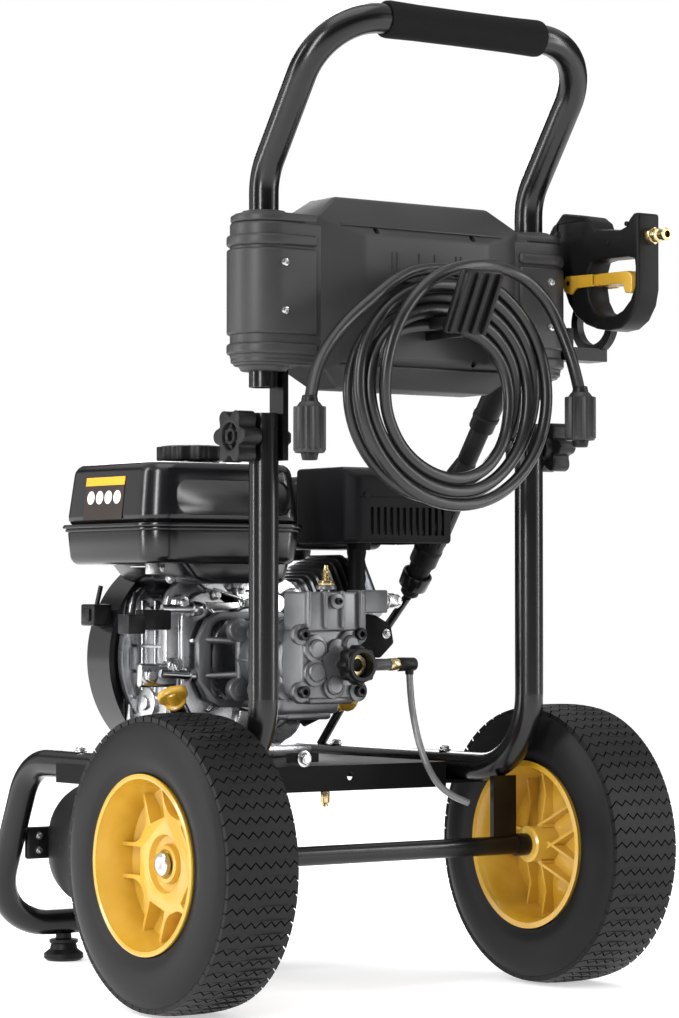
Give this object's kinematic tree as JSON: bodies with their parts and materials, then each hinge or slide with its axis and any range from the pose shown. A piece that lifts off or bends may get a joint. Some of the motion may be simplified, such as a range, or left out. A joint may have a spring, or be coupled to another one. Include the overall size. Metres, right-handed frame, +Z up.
{
  "type": "pressure washer",
  "caption": "Engine-driven pressure washer on a two-wheel cart, with a plunger pump, a folding handle, a hung hose coil and a gun with its lance.",
  "frame": {"origin": "on the ground at the middle of the footprint", "axes": "+X to the operator's right, +Y forwards away from the operator, +Z up"},
  "size_m": [0.5832, 0.72, 1.007],
  "materials": {
    "gloss_black": "gloss black powder coat",
    "satin_black": "satin black heat-resistant paint",
    "tank_black": "gloss black enamel",
    "panel_plastic": "charcoal moulded plastic",
    "black_plastic": "black moulded plastic",
    "foam": "matte foam rubber",
    "tyre_rubber": "dark grey rubber",
    "yellow_plastic": "golden yellow moulded plastic",
    "cast_aluminium": "bright cast aluminium",
    "pump_grey": "grey satin die casting",
    "steel": "zinc plated steel",
    "dark_steel": "blackened socket screws",
    "brass": "brass",
    "hose_black": "satin black hose cover",
    "sleeve_grey": "dark grey ribbed sleeve",
    "clear_pvc": "clear flexible tube"
  },
  "bodies": {
    "chassis": {"frame_tube_right": "gloss_black", "frame_tube_left": "gloss_black", "engine_deck": "gloss_black", "axle": "gloss_black", "feet": "black_plastic", "frame_bolts": "steel", "detergent_tank": "black_plastic", "lance_rest": "gloss_black", "crankcase": "cast_aluminium", "side_cover": "cast_aluminium", "cylinder_head": "cast_aluminium", "blower_housing": "black_plastic", "fuel_tank": "tank_black", "tank_brackets": "steel", "muffler_guard": "satin_black", "air_cleaner": "black_plastic", "pump_bell": "pump_grey", "pump_body": "pump_grey", "pump_head": "pump_grey", "valve_caps": "pump_grey", "pump_bolts": "dark_steel", "unloader": "steel", "pressure_outlet": "brass", "brass_fittings": "brass", "injector": "black_plastic", "inlet_spigot": "brass", "siphon_hose": "clear_pvc"},
    "wheel_right": {"tyre_right": "tyre_rubber", "rim_right": "yellow_plastic"},
    "wheel_left": {"tyre_left": "tyre_rubber", "rim_left": "yellow_plastic"},
    "crank": {"crankshaft": "steel", "wobble_plate": "steel"},
    "piston": {"piston": "cast_aluminium"},
    "plunger_1": {"plunger_1": "steel"},
    "plunger_2": {"plunger_2": "steel"},
    "plunger_3": {"plunger_3": "steel"},
    "recoil": {"recoil_handle": "black_plastic"},
    "fuel_cap": {"fuel_cap": "black_plastic"},
    "detergent_cap": {"detergent_cap": "black_plastic"},
    "inlet_nut": {"inlet_nut": "black_plastic"},
    "dipstick_left": {"dipstick_left": "yellow_plastic"},
    "dipstick_right": {"dipstick_right": "yellow_plastic"},
    "handle": {"handle_tube": "gloss_black", "handle_grip": "foam", "panel_rear": "panel_plastic", "panel_front": "panel_plastic", "panel_screws": "steel", "hose_hook": "black_plastic", "gun_holder": "black_plastic", "hose_coil": "hose_black", "hose_tail_left": "hose_black", "hose_tail_right": "hose_black", "hose_connectors": "sleeve_grey"},
    "knob_right": {"knob_right": "black_plastic"},
    "knob_left": {"knob_left": "black_plastic"},
    "gun": {"gun_body": "black_plastic", "lance": "black_plastic", "gun_coupler": "brass"},
    "trigger": {"trigger": "yellow_plastic"}
  },
  "joints": [
    {"name": "wheel_right_spin", "type": "hinge", "parent": "chassis", "child": "wheel_right", "pos_m": [0.244, -0.163, 0.15], "axis": [1, 0, 0], "continuous": true},
    {"name": "wheel_left_spin", "type": "hinge", "parent": "chassis", "child": "wheel_left", "pos_m": [-0.244, -0.163, 0.15], "axis": [1, 0, 0], "continuous": true},
    {"name": "crank_spin", "type": "hinge", "parent": "chassis", "child": "crank", "pos_m": [0, 0.137, 0.348], "axis": [0, 1, 0], "continuous": true},
    {"name": "piston_slide", "type": "slide", "parent": "chassis", "child": "piston", "axis": [0.9063, 0, 0.4226], "range_m": [-0.012, 0.026]},
    {"name": "plunger_1_slide", "type": "slide", "parent": "chassis", "child": "plunger_1", "axis": [0, 1, 0], "range_m": [-0.004, 0.004], "stiffness_N_per_m": 400},
    {"name": "plunger_2_slide", "type": "slide", "parent": "chassis", "child": "plunger_2", "axis": [0, 1, 0], "range_m": [-0.004, 0.004], "stiffness_N_per_m": 400},
    {"name": "plunger_3_slide", "type": "slide", "parent": "chassis", "child": "plunger_3", "axis": [0, 1, 0], "range_m": [-0.004, 0.004], "stiffness_N_per_m": 400},
    {"name": "recoil_pull", "type": "slide", "parent": "chassis", "child": "recoil", "axis": [0, 1, 0], "range_m": [0, 0.3], "stiffness_N_per_m": 20, "springref_m": -0.05},
    {"name": "fuel_cap_turn", "type": "hinge", "parent": "chassis", "child": "fuel_cap", "pos_m": [-0.06, 0.095, 0.572], "axis": [0, 0, 1], "continuous": true},
    {"name": "detergent_cap_turn", "type": "hinge", "parent": "chassis", "child": "detergent_cap", "pos_m": [0.07, 0.267, 0.22], "axis": [0, 0, 1], "continuous": true},
    {"name": "inlet_nut_turn", "type": "hinge", "parent": "chassis", "child": "inlet_nut", "pos_m": [0.01, -0.117, 0.3436], "axis": [0, 1, 0], "continuous": true},
    {"name": "dipstick_left_turn", "type": "hinge", "parent": "chassis", "child": "dipstick_left", "pos_m": [-0.106, 0.057, 0.303], "axis": [-0.6284, -0.5655, 0.5341], "continuous": true},
    {"name": "dipstick_right_turn", "type": "hinge", "parent": "chassis", "child": "dipstick_right", "pos_m": [0.096, 0.043, 0.3], "axis": [0.5472, -0.7295, 0.4104], "continuous": true},
    {"name": "handle_fold", "type": "hinge", "parent": "chassis", "child": "handle", "pos_m": [0, -0.204, 0.575], "axis": [1, 0, 0], "range_deg": [0, 100]},
    {"name": "knob_right_turn", "type": "hinge", "parent": "handle", "child": "knob_right", "pos_m": [0.197, -0.204, 0.575], "axis": [1, 0, 0], "continuous": true},
    {"name": "knob_left_turn", "type": "hinge", "parent": "handle", "child": "knob_left", "pos_m": [-0.197, -0.204, 0.575], "axis": [1, 0, 0], "continuous": true},
    {"name": "gun_lift", "type": "slide", "parent": "handle", "child": "gun", "axis": [0, -0.5853, 0.8108], "range_m": [0, 0.3]},
    {"name": "trigger_squeeze", "type": "hinge", "parent": "gun", "child": "trigger", "pos_m": [0.23, -0.223, 0.75], "axis": [-1, 0, 0], "range_deg": [0, 7], "stiffness_Nm_per_rad": 0.5, "springref_deg": -5.73}
  ]
}
